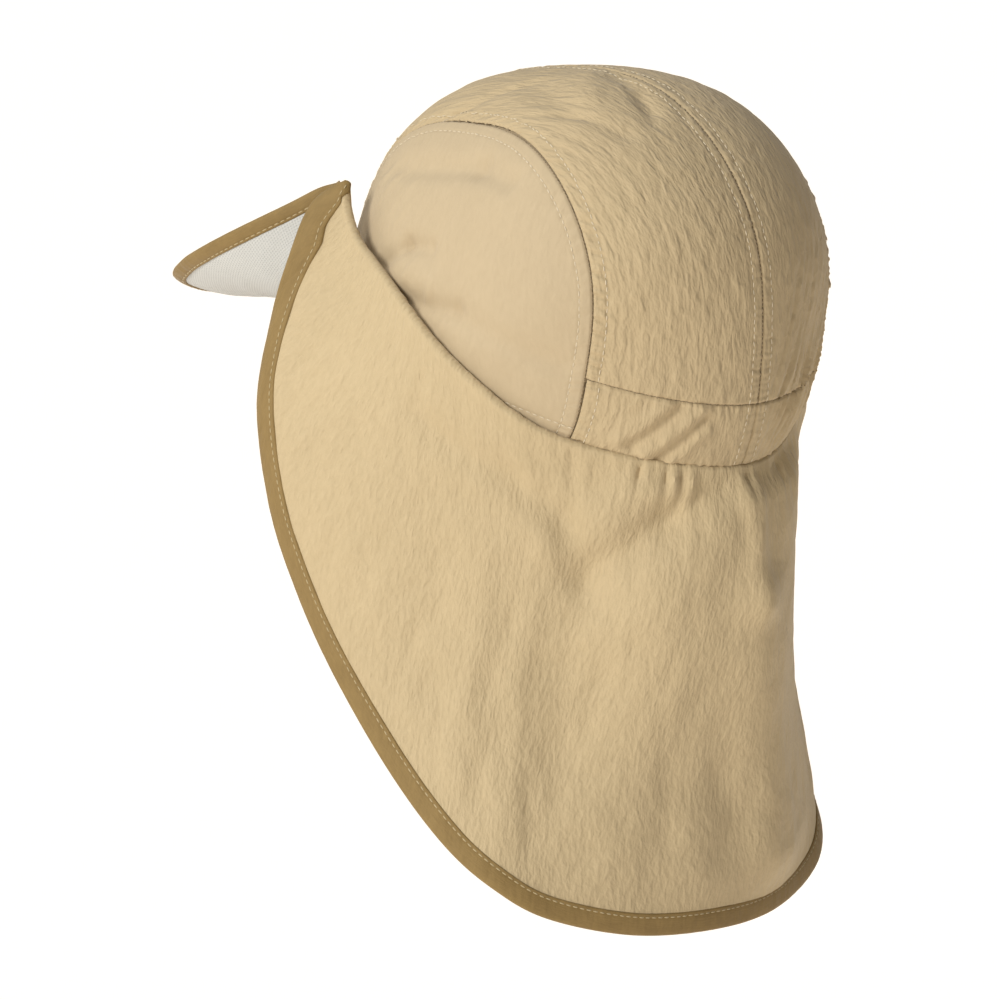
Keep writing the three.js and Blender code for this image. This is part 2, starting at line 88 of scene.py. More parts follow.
# The crown's profile over the head, from the back seam at turn 0 to the front seam at turn 180.
PROFILE = table(
    "turn reach fullness strip",
    (0, 0.798, 1.79, 0.731),
    (30, 0.836, 1.93, 0.736),
    (60, 0.949, 2.27, 0.738),
    (90, 1.0, 2.44, 0.695),
    (120, 0.993, 2.18, 0.583),
    (150, 1.05, 2.18, 0.525),
    (180, 0.967, 1.93, 0.465),
)

# Soft creases of the side panels in the hat's side view (back, up), in shares of the crown's depth; side 1 is
# the left panel, -1 the right one and 0 both. They grow over CREASE_FADE, in shares of the half width.
CREASES = table(
    "side start end width depth",
    (0, (-0.74, 0.39), (-0.24, 0.67), 0.04, 1.0),
    (0, (-0.24, 0.67), (-0.07, 0.71), 0.04, 0.7),
    (0, (-0.43, 0.19), (-0.36, 0.31), 0.03, 0.8),
    (0, (-0.36, 0.31), (-0.24, 0.36), 0.03, 0.9),
    (0, (-0.26, 0.15), (0.0, 0.25), 0.032, 0.9),
    (0, (0.0, 0.25), (0.41, 0.25), 0.045, 0.6),
    (1, (-0.33, 0.2), (-0.18, 0.27), 0.05, -0.6),
    (-1, (-0.06, 0.7), (0.03, 0.52), 0.05, -1.0),
    (-1, (0.1, 0.68), (0.06, 0.5), 0.04, 0.9),
)

# The flap's ridge, a row per section from the centre back to its front corner, in shares of its sizes.
RIDGE = table(
    "around over stand rise forward roll",
    (0, 0, -0.19, 0, 0, 0.46),
    (15, 0, -0.19, 0, 0, 0.46),
    (30, 0, -0.19, 0, 0, 0.46),
    (45, 0.1, -0.06, 0, 0, 0.5),
    (60, 0.8, 0.94, 0.051, 0, 0.71),
    (75, 1, 1, 0.184, 0, 0.93),
    (90, 1, 0.75, 0.327, 0, 1),
    (99, 1, 0.625, 0.408, 0, 1),
    (107, 1, 0.625, 0.49, 0.2, 1),
    (114, 1, 0.625, 0.571, 0.5, 0.93),
    (120, 1, 0.625, 0.653, 0.88, 0.86),
    (124, 1, 0.625, 0.776, 1, 0.79),
    (127, 1, 0.625, 0.918, 1, 0.71),
    (FLAP_END, 1, 0.47, 1, 0.8, 0.64),
)

# The flap's hem, a row for each row of the ridge, in shares of the half width, the back reach and the drop.
HEM = table(
    "across back up flare",
    (0, 0.735, -1, 0),
    (0.44, 0.675, -0.991, 0),
    (0.83, 0.54, -0.95, -0.2),
    (1.03, 0.41, -0.896, -0.33),
    (1.14, 0.21, -0.822, -0.3),
    (1.215, -0.056, -0.7, -0.2),
    (1.282, -0.348, -0.533, 0),
    (1.317, -0.549, -0.389, 0.08),
    (1.327, -0.699, -0.25, 0.1),
    (1.28, -0.822, -0.079, 0.1),
    (1.178, -0.843, 0.063, 0.1),
    (1.104, -0.804, 0.174, 0.1),
    (0.97, -0.801, 0.263, 0.1),
    (0.825, -0.752, 0.302, 0.1),
)

# Drape folds of the flap, each between two places given as (degrees around, percent of the fall), with its
# height in shares of FOLD_HEIGHT. All grow over FOLD_START and fade over FOLD_STOP, in percent of the fall.
FOLDS = table(
    "start end width height",
    ((22, 2), (50, 24), 6, 0.8),
    ((8, 2), (20, 12), 4.5, -1.0),
    ((20, 12), (38, 29), 4.5, -1.15),
    ((6, 16), (28, 38), 7, 0.6),
    ((-1.5, 4), (-4, 29), 4, 1.2),
    ((-4, 29), (-14, 92), 8, 1.4),
    ((-8, 16), (-14, 96), 20, 1.2),
    ((31, 40), (33, 94), 11, -0.4),
    ((26, 60), (2, 64), 19, -1.9),
    ((-25, -4), (-37, 70), 14, 0.9),
    ((-6, 1), (-8, 20), 3.5, -0.4),
    ((84, 20), (62, 15), 4, -0.55),
    ((62, 15), (46, 19), 4.5, -0.7),
    ((46, 19), (33, 33), 5, -0.4),
    ((38, 29), (33, 62), 6, -0.15),
    ((67, 36), (61, 82), 6, 0.35),
    ((58, 42), (54, 86), 5, -0.22),
    ((51, 36), (45, 88), 6, 0.35),
    ((22, 56), (25, 94), 6, 0.25),
    ((10, 64), (12, 94), 3.5, -0.35),
    ((4, 66), (3, 92), 4.5, 0.4),
    ((-1, 68), (-6, 92), 4, -0.3),
    ((-60, 20), (-50, 95), 7, 0.83),
)
FOLD_START = (0, 7)
FOLD_STOP = (86, 99)

# The visor, a row per section from its corner to the centre front, in shares of its sizes.
VISOR = table(
    "around across front up leave drop sag",
    (133, 0.76, 0.426, 0.992, 0.35, 1, 0),
    (137, 0.802, 0.463, 0.955, 0.4, 1, 0.25),
    (141, 0.86, 0.522, 0.862, 0.5, 0.9, 0.58),
    (146, 0.93, 0.597, 0.748, 0.6, 0.6, 0.83),
    (151, 0.977, 0.677, 0.632, 0.7, 0.38, 0.95),
    (156, 0.977, 0.758, 0.524, 0.8, 0.2, 1),
    (161, 0.93, 0.841, 0.418, 0.9, 0.2, 1),
    (166, 0.814, 0.921, 0.297, 1, 0.2, 0.9),
    (173, 0.5, 0.97, 0.182, 1, 0.2, 0.7),
    (180, 0, 1, 0.121, 1, 0.2, 0.58),
)

BACK_REACH = CROWN_DEPTH * PROFILE[0]["reach"]

# Seams: the depth and roundness of the fold at a seam, and the topstitch rows beside it.
SEAM_DEPTH = 0.55 * MM
SEAM_ROUND = 0.6 * MM
SIDE_ROW = 5.4 * MM
CENTRE_ROW = 4.6 * MM
BASE_ROW = 5.2 * MM
ROW_DENT = 0.22 * MM
ROW_SPREAD = 0.6 * MM
PUCKER = 0.8 * MM
SIDE_PUCKER = 0.4 * MM
PUCKER_PITCH = 1.8 * MM
BAND_FOLD = 0.55 * MM

# Seam allowances: how far each reaches under its neighbour, how deep it lies and how soon it gets there.
UNDERLAP = np.array([4.5, 3.0, 1.6, 0.8, 0.4]) * MM
UNDER_DEPTH = 1.5 * MM
UNDER_STEP = 0.7 * MM

# Crumpling of each cloth in millimetres: its height, the size of one swell across and down, and its seed.
CRUMPLES = dict(
    side=(0.22, (16, 20), 22),
    left_centre=(0.4, (13, 24), 35),
    right_centre=(0.24, (13, 24), 35),
    centre_fine=(0.12, (4.6, 10), 36),
    band=(0.4, (10, 11), 45),
    band_fine=(0.12, (4.6, 8), 46),
    flap=(0.8, (15, 34), 51),
    flap_fine=(0.12, (5.5, 13), 52),
    visor=(0.4, (26, 22), 71),
)

# Distances from a seam or rim over which the relief grows, and the share of it that a seam leaves.
SIDE_FREE, SIDE_HELD = (0, 3 * MM), 0.5
CENTRE_FREE, CENTRE_HELD = (0, 10 * MM), 0.3
BAND_FREE, BAND_HELD = (2 * MM, 9 * MM), 0.2
FLAP_RIM_FREE, FLAP_TOP_FREE = (5 * MM, 24 * MM), (0, 14 * MM)
FLAP_FINE_FREE, FLAP_PLEATS_START = (0, 5 * MM), (-2 * MM, 4 * MM)
VISOR_RIM_FREE = (5 * MM, 20 * MM)

# Pleats of drawn-in cloth in millimetres: how far they last, their height, the size of one, and their seed.
PLEATS = dict(
    crown_elastic=(24, 2.4, (2, 30), 33),
    band_elastic=(24, 2.4, (2, 30), 43),
    crown_short=(6, 0.5, (1.8, 9), 34),
    band_short=(5, 0.5, (1.9, 10), 44),
    flap=(13, 2.2, (4.4, 40), 53),
    flap_small=(13, 1.32, (2.4, 20), 54),
)
PLEAT_LEAN = 0.4

# The elastic at the right end of the back: where it starts to gather the cloth, right of the centre, and its
# pull inwards, with its depth, its reach from the base, and its place and spread around the head.
ELASTIC_FROM = (4 * MM, 20 * MM)
PINCH, PINCH_REACH = 3.5 * MM, 13 * MM
PINCH_PLACE, PINCH_SPREAD = -32, 20

# Where the side panels meet the flap's ridge: pleats, with their cell in (degrees, height above the ridge).
SIDE_GATHER = 1.5 * MM
SIDE_PLEAT = (4.5, 40 * MM)
SIDE_PLEAT_FLOOR = 0.05
SIDE_PLEAT_RISE, SIDE_PLEAT_SPREAD = 1 * MM, 7 * MM
SIDE_PLEAT_FROM = (70, 95)

# Puckers along the flap's rolled ridge, and the degrees over which the flap's own pleats end.
RIDGE_PUCKER = 0.3 * MM
RIDGE_CELL = (5 * MM, 20 * MM)
RIDGE_ROLL, RIDGE_SPREAD = 3 * MM, 6 * MM
FLAP_PLEATS_END = (46, 62)

# Slight waves of the folded tape along the rim, not the same on its two faces.
TAPE_WAVE = 0.09 * MM
TAPE_WAVE_LENGTH = 4 * MM
TAPE_FACES = 3.3

# Diagonal folds of the back band's left half, in millimetres from its centre seam and its base, with their
# height in shares of FOLD_HEIGHT.
BAND_FOLDS = table(
    "start end width height",
    ((56, 6), (40, 24), 3, 0.5),
    ((44, 2), (26, 24), 3, 0.5),
    ((33, 1), (22, 16), 2.5, 0.4),
    ((50, 4), (34, 24), 2.5, -0.45),
    ((38, 1), (24, 20), 2.2, -0.4),
)

# Dents over the top of the left centre panel, by the same measures from the centre seam and from the band.
TOP_DENTS = table(
    "start end width height",
    ((50, 170), (34, 178), 4, -0.4),
    ((52, 186), (47, 172), 4, -0.4),
    ((27, 176), (43, 128), 4.5, -0.45),
    ((43, 128), (34, 112), 4, -0.4),
    ((6, 158), (15, 128), 4.5, -0.45),
    ((12, 140), (20, 118), 3.5, -0.35),
    ((14, 166), (30, 140), 4.5, 0.35),
)

# The folded tape: how far it reaches from the rim in its own widths, and how it stands off the cloth. Its
# stitches run on point TAPE_ROW. Over the flap's rows CORNER it widens from a bounded tape to a whole line.
TAPE_PROFILE = [
    (1.0, 0.4), (0.985, 0.75), (0.94, 0.95), (0.87, 0.98), (0.81, 0.86), (0.75, 0.98),
    (0.55, 1.06), (0.3, 1.06), (0.05, 0.95), (-0.11, 0.75), (-0.18, 0.45), (-0.21, 0.0),
]
TAPE_ROW = 4
TAPE_AIM = 8
HEM_STEP = 0.1
LEAST_SLANT = 0.4
MOST_BOUND = 0.5
MOST_COVERED = 0.98
CORNER = (11.1, 12.3)
FLAP_TAPE_ROWS = 560
VISOR_TAPE_ROWS = 360

# The studio.
FLOOR_RADIUS = 40
FLOOR_HEIGHT = -0.5
ROOM_LIGHT = 0.1

# Stitches: their pitch along a row, and a stitch's length and thickness.
STITCH_PITCH = 2.9 * MM
STITCH_LENGTH = 2.1 * MM
STITCH_WIDTH = 0.5 * MM
STITCH_LIFT = 0.1 * MM
SEAM_STITCH_WIDTH = 0.36 * MM
TIGHT_PITCH = 1.7 * MM
TIGHT_LENGTH = 1.2 * MM

# How finely each sheet is divided, as rows by columns, and how closely its lines and places are found.
SIDE_GRID = (250, 90)
CENTRE_GRID = (280, 84)
BAND_GRID = (40, 100)
FLAP_ROWS = 320
RISER_COLUMNS = 10
ROLL_COLUMNS = 14
FALL_COLUMNS = 124
VISOR_GRID = (240, 70)
CURVE_STEPS = 160
ROW_SAMPLES = 16
HALVINGS = 40
WELD = 0.01 * MM
SMOOTH_ANGLE = math.radians(60)
NOISE_SIZE = 64
NOISE_GAIN = 1.6


def ease(value, low, high):
    """A smooth step from 0 at low to 1 at high."""
    s = np.clip((value - low) / (high - low), 0, 1)
    return s * s * (3 - 2 * s)


def hump(distance, width):
    """A soft hump of height 1."""
    return np.exp(-((distance / width) ** 2))


def blend(rows, column, at, key=None, level=None):
    """Smooth values of one column of a table, by its key column or by row number; level names a row where
    they neither rise nor fall."""
    keys = np.array([k if key is None else row[key] for k, row in enumerate(rows)], float)
    values = np.array([row[column] for row in rows], float)
    low = np.maximum(np.arange(len(keys)) - 1, 0)
    high = np.minimum(np.arange(len(keys)) + 1, len(keys) - 1)
    slopes = (values[high] - values[low]) / (keys[high] - keys[low])
    if level is not None:
        slopes[level] = 0
    at = np.clip(np.asarray(at, float), keys[0], keys[-1])
    k = np.clip(np.searchsorted(keys, at, side="right") - 1, 0, len(keys) - 2)
    span = keys[k + 1] - keys[k]
    s = (at - keys[k]) / span
    stay = (1 + 2 * s) * (1 - s) ** 2
    leave = s * (1 - s) ** 2 * span * slopes[k]
    arrive = s * s * (s - 1) * span * slopes[k + 1]
    return stay * values[k] + leave + (1 - stay) * values[k + 1] + arrive


def noise_weight(share):
    return share**3 * (share * (6 * share - 15) + 10)


def wavy(u, v, seed):
    """Smooth noise from about -1 to 1 over a flat map, with one wave to each unit or two."""
    turns = np.random.default_rng(seed).uniform(0, 2 * math.pi, (NOISE_SIZE, NOISE_SIZE))
    u, v = np.broadcast_arrays(np.asarray(u, float), np.asarray(v, float))
    cell_u, cell_v = np.floor(u).astype(int), np.floor(v).astype(int)
    total = np.zeros(u.shape)
    for step_u, step_v in ((0, 0), (0, 1), (1, 0), (1, 1)):
        turn = turns[(cell_u + step_u) % NOISE_SIZE, (cell_v + step_v) % NOISE_SIZE]
        off_u, off_v = u - cell_u - step_u, v - cell_v - step_v
        weight = noise_weight(1 - np.abs(off_u)) * noise_weight(1 - np.abs(off_v))
        total += (off_u * np.cos(turn) + off_v * np.sin(turn)) * weight
    return total * NOISE_GAIN


def crumple(u, v, seed):
    """Cloth-like wrinkles: rounded swells that meet in sharper creases."""
    bend = 0.7 * wavy(u * 0.4, v * 0.4, seed + 1)
    swell = 0.5 - np.sqrt(wavy(u + bend, v + bend, seed) ** 2 + 0.015)
    return swell + 0.5 * wavy(2.1 * u + bend, 2.1 * v, seed + 2)


def relief_of(noise, across, down, height, cell, seed):
    """Relief over a flat map in metres, by a row of a table in millimetres."""
    return height * MM * noise(across / (cell[0] * MM), down / (cell[1] * MM), seed)


def crumpled(kind, across, down):
    return relief_of(crumple, across, down, *CRUMPLES[kind])


def pleated(kind, across, down, away):
    """Height of one kind of pleats, which fade away from the seam that draws them in."""
    reach, *waves = PLEATS[kind]
    return relief_of(wavy, across, down, *waves) * np.exp(-away / (reach * MM))


def ridge_share(places, start, end, width):
    """Share of a soft ridge's height at places of a flat map, for a ridge from start to end."""
    start, end = np.array(start, float), np.array(end, float)
    along = end - start
    offset = places - start
    share = np.clip((offset @ along) / (along @ along), 0, 1)
    return hump(np.linalg.norm(offset - share[..., None] * along, axis=-1), width)


def fold_heights(rows, places):
    """Height of a table's folds or dents at places of a flat map."""
    return FOLD_HEIGHT * sum(
        row["height"] * ridge_share(places, row["start"], row["end"], row["width"]) for row in rows
    )


def front_drop(x, y):
    """How far the lower edge is carried down, growing from the temples to the front."""
    around = np.degrees(np.arctan2(np.abs(x), y))
    return FRONT_DROP * ease(around, FRONT_DROP_START, 180)


def tilted(points):
    """The hat's own frame turned back by the tilt into the upright frame."""
    x, y, z = points[..., 0], points[..., 1], points[..., 2]
    return np.stack([x, y * math.cos(TILT) + z * math.sin(TILT), z * math.cos(TILT) - y * math.sin(TILT)], -1)


def crease_depth(x, y, z):
    """Depth of the side panels' creases at places of the hat's own frame."""
    places = np.stack([y, z], -1) / CROWN_DEPTH
    depth = 0
    for row in CREASES:
        here = row["depth"] * ridge_share(places, row["start"], row["end"], row["width"])
        depth = depth + here * (row["side"] * x >= 0)
    return CREASE_DEPTH * depth * ease(np.abs(x) / HEAD_HALF_WIDTH, *CREASE_FADE)


def crown_points(across, turn):
    """Points of the crown in the hat's own frame, across the head and turned over it from the back."""
    across, turn = np.broadcast_arrays(across, turn)
    share = np.minimum(np.abs(across) / HEAD_HALF_WIDTH, 1)
    fullness = blend(PROFILE, "fullness", turn, "turn")
    reach = CROWN_DEPTH * blend(PROFILE, "reach", turn, "turn") * (1 - share**fullness) ** (1 / fullness)
    y, z = reach * np.cos(np.radians(turn)), reach * np.sin(np.radians(turn))
    z = z - front_drop(across, y) * (1 - np.maximum(z, 0) / CROWN_DEPTH) ** 2
    sink = 1 - crease_depth(across, y, z) / CROWN_DEPTH
    return np.stack([across, y, z], -1) * sink[..., None]


def edge_points(around, inset=0.0):
    """Points of the crown's lower edge by their angle around the head from the back, in degrees."""
    around = np.asarray(around, float)
    end = np.where(np.abs(around) <= 90, 0, 180)
    reach = CROWN_DEPTH * blend(PROFILE, "reach", end, "turn") - inset
    fullness = blend(PROFILE, "fullness", end, "turn")
    sine, cosine = np.sin(np.radians(around)), np.cos(np.radians(around))
    bulk = (np.abs(sine) / (HEAD_HALF_WIDTH - inset)) ** fullness + (np.abs(cosine) / reach) ** fullness
    radius = bulk ** (-1 / fullness)
    x, y = radius * sine, radius * cosine
    return np.stack([x, y, -front_drop(x, y)], -1)


def unit(vectors):
    return vectors / np.maximum(np.linalg.norm(vectors, axis=-1, keepdims=True), 1e-12)


def seam_place(around, away, up, risen=0.0, forward=0.0):
    """Places near the crown's lower edge: away from the crown and up it, then risen and forward upright."""
    edge = tilted(edge_points(around))
    out = unit(tilted(edge_points(around, -MM)) - edge)
    hat_up = tilted(np.array([0.0, 0.0, 1.0]))
    lift = np.stack(np.broadcast_arrays(0.0, -forward, risen), -1)
    return edge + np.asarray(away)[..., None] * out + np.asarray(up)[..., None] * hat_up + lift


def lengths(grid, axis):
    """Distance run along one axis of a grid of points, from its first line."""
    steps = np.linalg.norm(np.diff(grid, axis=axis), axis=-1)
    start = np.zeros_like(np.take(steps, [0], axis=axis))
    return np.concatenate([start, np.cumsum(steps, axis=axis)], axis=axis)


def points_at(stops, run, line):
    """Points of a line at given distances run along it."""
    return np.stack([np.interp(stops, run, line[:, k]) for k in range(3)], -1)


def normals(grid):
    """The surface direction at each point of a grid."""
    down = np.gradient(grid, axis=0)
    along = np.gradient(grid, axis=1)
    return unit(np.cross(down, along))


def outward(grid):
    """The surface direction at each point of a grid of the crown, away from the head."""
    found = normals(grid)
    centre = np.array([0.0, 0.0, 0.2 * CROWN_DEPTH])
    return found * np.sign(np.sum(found * (grid - centre)))


def spaced(count, both_ends=True):
    """Shares from 0 to 1 that lie closer together at both ends, or at the start alone."""
    s = np.linspace(0, 1, count + 1)
    if both_ends:
        return 0.4 * s + 0.6 * (1 - np.cos(math.pi * s)) / 2
    return 0.35 * s + 0.65 * (1 - np.cos(math.pi * s / 2))


def seam_relief(away, along, row, pucker, seed):
    """Height of the cloth beside a seam: its fold, the dent of its topstitch row and the puckers between."""
    fold = -SEAM_DEPTH * hump(np.maximum(away, 0), SEAM_ROUND)
    fold -= UNDER_DEPTH * ease(-away, 0, UNDER_STEP)
    dent = -ROW_DENT * hump(away - row, ROW_SPREAD)
    beside = hump(np.maximum(away - 0.8 * row, 0), 0.4 * row)
    return fold + dent + pucker * wavy(along / PUCKER_PITCH, away / (2 * row), seed) * beside


def strip_edge(turn):
    return HEAD_HALF_WIDTH * blend(PROFILE, "strip", turn, "turn")


def band_turn(across, height):
    """The turn at which the crown reaches a height over its base, found by halving."""
    low, high = np.zeros_like(across), np.full_like(across, 60.0)
    for _ in range(HALVINGS):
        middle = (low + high) / 2
        below = crown_points(across, middle)[..., 2] < height
        low, high = np.where(below, middle, low), np.where(below, high, middle)
    return low


def deselect_all():
    if bpy.context.mode != "OBJECT":
        bpy.ops.object.mode_set(mode="OBJECT")
    bpy.ops.object.select_all(action="DESELECT")


def laid_sheet(name, grid, flat, material, thickness=CLOTH, offset=-1.0, flip=False):
    """A grid laid through points, with its flat measures as its UV map in metres, and given its thickness."""
    rows, columns = grid.shape[0] - 1, grid.shape[1] - 1
    deselect_all()
    bpy.ops.mesh.primitive_grid_add(x_subdivisions=rows, y_subdivisions=columns, size=2)
    piece = bpy.context.object
    piece.name = piece.data.name = f"{name}_cloth"
    mesh = piece.data
    places = np.empty(len(mesh.vertices) * 3)
    mesh.vertices.foreach_get("co", places)
    i, j = np.rint((places.reshape(-1, 3)[:, :2] + 1) / 2 * (rows, columns)).astype(int).T
    mesh.vertices.foreach_set("co", grid[i, j].ravel())
    corners = np.empty(len(mesh.loops), int)
    mesh.loops.foreach_get("vertex_index", corners)
    mesh.uv_layers.active.data.foreach_set("uv", flat[i, j][corners].ravel())
    mesh.update()
    bpy.ops.object.mode_set(mode="EDIT")
    bpy.ops.mesh.select_all(action="SELECT")
    if flip:
        bpy.ops.mesh.flip_normals()
    bpy.ops.mesh.remove_doubles(threshold=WELD)
    bpy.ops.object.mode_set(mode="OBJECT")
    wall = piece.modifiers.new("wall", "SOLIDIFY")
    wall.thickness = thickness
    wall.offset = offset
    bpy.ops.object.modifier_apply(modifier=wall.name)
    bpy.ops.object.shade_smooth_by_angle(angle=SMOOTH_ANGLE)
    mesh.materials.append(material)
    return piece


def finish_piece(piece, slot, *nodes):
    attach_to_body(piece, "root")
    if nodes:
        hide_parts(*nodes)


def area_of(grid):
    """Area of a grid of points, in square metres."""
    first, second = grid[1:, 1:] - grid[:-1, :-1], grid[1:, :-1] - grid[:-1, 1:]
    return float(np.linalg.norm(np.cross(first, second), axis=-1).sum() / 2)


def declare_cloth(grid):
    """Works out the area of a sheet's grid, and keeps nothing of it."""
    area_of(grid)


def crown_cloth(kind, side, name, grid, flat, material):
    """Lays one cloth of the crown, which stands for the CAD node of the same name."""
    piece = laid_sheet(f"{kind}_{name}", grid, flat, material, flip=side < 0)
    finish_piece(piece, "sand_cloth", f"{kind}_{name}")
    declare_cloth(grid)


def stitch_form(length, width):
    """One stitch: a short thread with rounded ends, modelled once and copied along the rows."""
    deselect_all()
    bpy.ops.mesh.primitive_uv_sphere_add(segments=6, ring_count=5, radius=0.5)
    stitch = bpy.context.object
    bpy.ops.object.mode_set(mode="EDIT")
    bpy.ops.mesh.select_all(action="SELECT")
    bpy.ops.transform.rotate(value=math.pi / 2, orient_axis="Y", center_override=(0, 0, 0))
    bpy.ops.transform.resize(value=(length, width, 0.8 * width), center_override=(0, 0, 0))
    bpy.ops.object.mode_set(mode="OBJECT")
    points = np.array([tuple(v.co) for v in stitch.data.vertices])
    faces = [tuple(p.vertices) for p in stitch.data.polygons]
    bpy.data.objects.remove(stitch)
    return points, faces


def stitch_row(name, lines, material, pitch=STITCH_PITCH, length=STITCH_LENGTH, width=STITCH_WIDTH):
    """Stitches copied at even steps along lines, each line a pair of points and surface directions."""
    form, form_faces = stitch_form(length, width)
    places, faces = [], []
    for line, up in lines:
        run = lengths(line, 0)
        stops = np.arange(0.5 * pitch, run[-1] - 0.5 * pitch, pitch)
        ahead = 0.25 * length
        at = points_at(stops, run, line)
        lift = unit(points_at(stops, run, up))
        forward = unit(points_at(stops + ahead, run, line) - points_at(stops - ahead, run, line))
        side = unit(np.cross(lift, forward))
        lift = np.cross(forward, side)
        for k in range(len(stops)):
            base = len(places) * len(form)
            places.append(at[k] + form[:, :1] * forward[k] + form[:, 1:2] * side[k] + form[:, 2:] * lift[k])
            faces += [tuple(base + v for v in face) for face in form_faces]
    mesh = bpy.data.meshes.new(name)
    mesh.from_pydata(np.concatenate(places).tolist(), [], faces)
    mesh.materials.append(material)
    row = bpy.data.objects.new(name, mesh)
    bpy.context.collection.objects.link(row)
    for face in mesh.polygons:
        face.use_smooth = True
    finish_piece(row, "sand_cloth")


def line_at(grid, up, distances, at):
    """The line of a grid that runs at a distance from its first column, with its surface directions."""
    reached = [k for k in range(len(grid)) if distances[k, -1] >= at]
    points = np.array([points_at(at, distances[k], grid[k]) for k in reached])
    ups = unit(np.array([points_at(at, distances[k], up[k]) for k in reached]))
    return points + STITCH_LIFT * ups, ups


def above_flap(grid):
    """How far places of a side panel lie above the flap's ridge, upright."""
    hat_y = grid[..., 1] * math.cos(TILT) - grid[..., 2] * math.sin(TILT)
    around = np.degrees(np.arctan2(np.abs(grid[..., 0]), hat_y))
    ridge = RIDGE_RISE * blend(RIDGE, "rise", around, "around")
    return grid[..., 2] - tilted(edge_points(around))[..., 2] - ridge, around


def side_panel(side, name, material):
    """One side panel: lays its cloth, and gives the line of its seam and its topstitch rows."""
    rows, columns = SIDE_GRID
    turn = 180 * spaced(rows)[:, None]
    edge = strip_edge(turn) + SEAM_GAP / 2
    start = np.arcsin(edge / HEAD_HALF_WIDTH)
    share = spaced(columns, False)[None, :]
    outer = HEAD_HALF_WIDTH * np.sin(start + (math.pi / 2 - start) * share)
    grid = tilted(crown_points(side * np.concatenate([edge - UNDERLAP, outer], 1), turn))
    up = outward(grid)
    first = len(UNDERLAP)
    away, along = lengths(grid, 1), lengths(grid, 0)[:, :1]
    away = away - away[:, first : first + 1]
    from_base = np.minimum(lengths(grid, 0), lengths(grid[::-1], 0)[::-1])
    relief = -ROW_DENT * hump(from_base - BASE_ROW, ROW_SPREAD) * ease(away, *SIDE_FREE)
    relief += crumpled("side", grid[..., 1], grid[..., 2])
    above, around = above_flap(grid)
    pleats = np.maximum(wavy(around / SIDE_PLEAT[0], above / SIDE_PLEAT[1], 23) - SIDE_PLEAT_FLOOR, 0)
    beside_flap = hump(above - SIDE_PLEAT_RISE, SIDE_PLEAT_SPREAD) * ease(around, *SIDE_PLEAT_FROM)
    relief += SIDE_GATHER * pleats * beside_flap
    relief *= ease(from_base, *SIDE_FREE) * (1 - SIDE_HELD) + SIDE_HELD
    relief += seam_relief(away, along, SIDE_ROW, SIDE_PUCKER, 21)
    grid = drawn_in(grid + relief[..., None] * up, from_base)
    crown_cloth("side_panel", side, name, grid, grid[..., 1:], material)
    row = line_at(grid, up, away, SIDE_ROW)
    back = grid[: rows // 3, first:columns].swapaxes(0, 1)
    back_up = up[: rows // 3, first:columns].swapaxes(0, 1)
    low = line_at(back, back_up, lengths(back, 1), BASE_ROW)
    return (grid[:, first], up[:, first]), [row, low]


def half_shares(columns, side):
    """Shares across half of the crown and the first one that shows: the right half reaches under the left."""
    shares = spaced(columns)[None]
    return (np.concatenate([-UNDERLAP[None], shares], 1), len(UNDERLAP)) if side < 0 else (shares, 0)


def tight_end(grid):
    """Share of the drawn-in cloth at the right end of the back, where it is gathered over elastic."""
    return ease(-grid[..., 0], *ELASTIC_FROM)


def drawn_in(grid, away):
    """The cloth moved towards the head where the elastic draws the right end of the back in."""
    around = np.degrees(np.arctan2(grid[..., 0], grid[..., 1]))
    pull = PINCH * hump(around - PINCH_PLACE, PINCH_SPREAD) * np.exp(-np.abs(away) / PINCH_REACH)
    return grid - pull[..., None] * unit(grid * np.array([1.0, 1.0, 0.0]))


def half_measures(grid, first, side):
    """Distances from the centre seam and the side seam over half of the crown, and its flat measures."""
    run = lengths(grid, 1)
    from_centre = run - run[:, first : first + 1]
    return from_centre, run[:, -1:] - run, np.stack([side * from_centre, lengths(grid, 0)], -1)


def half_relief(from_centre, from_side, flat, kinds, free, held, seed):
    """Relief of half of the crown: both its seams, and crumpling that is held at them and free between."""
    across, down = flat[..., 0], flat[..., 1]
    crumpling = sum(crumpled(kind, across, down) for kind in kinds)
    relief = crumpling * (held + (1 - held) * ease(np.minimum(from_centre, from_side), *free))
    relief += seam_relief(from_centre, down, CENTRE_ROW, SIDE_PUCKER, seed)
    return relief + seam_relief(from_side, down, SIDE_ROW, PUCKER, seed + 1)


def rows_beside(grid, up, from_centre):
    """The topstitch rows beside the centre seam and beside the side seam."""
    mirrored, mirrored_up = grid[:, ::-1], up[:, ::-1]
    side_row = line_at(mirrored, mirrored_up, lengths(mirrored, 1), SIDE_ROW)
    return [line_at(grid, up, from_centre, CENTRE_ROW), side_row]


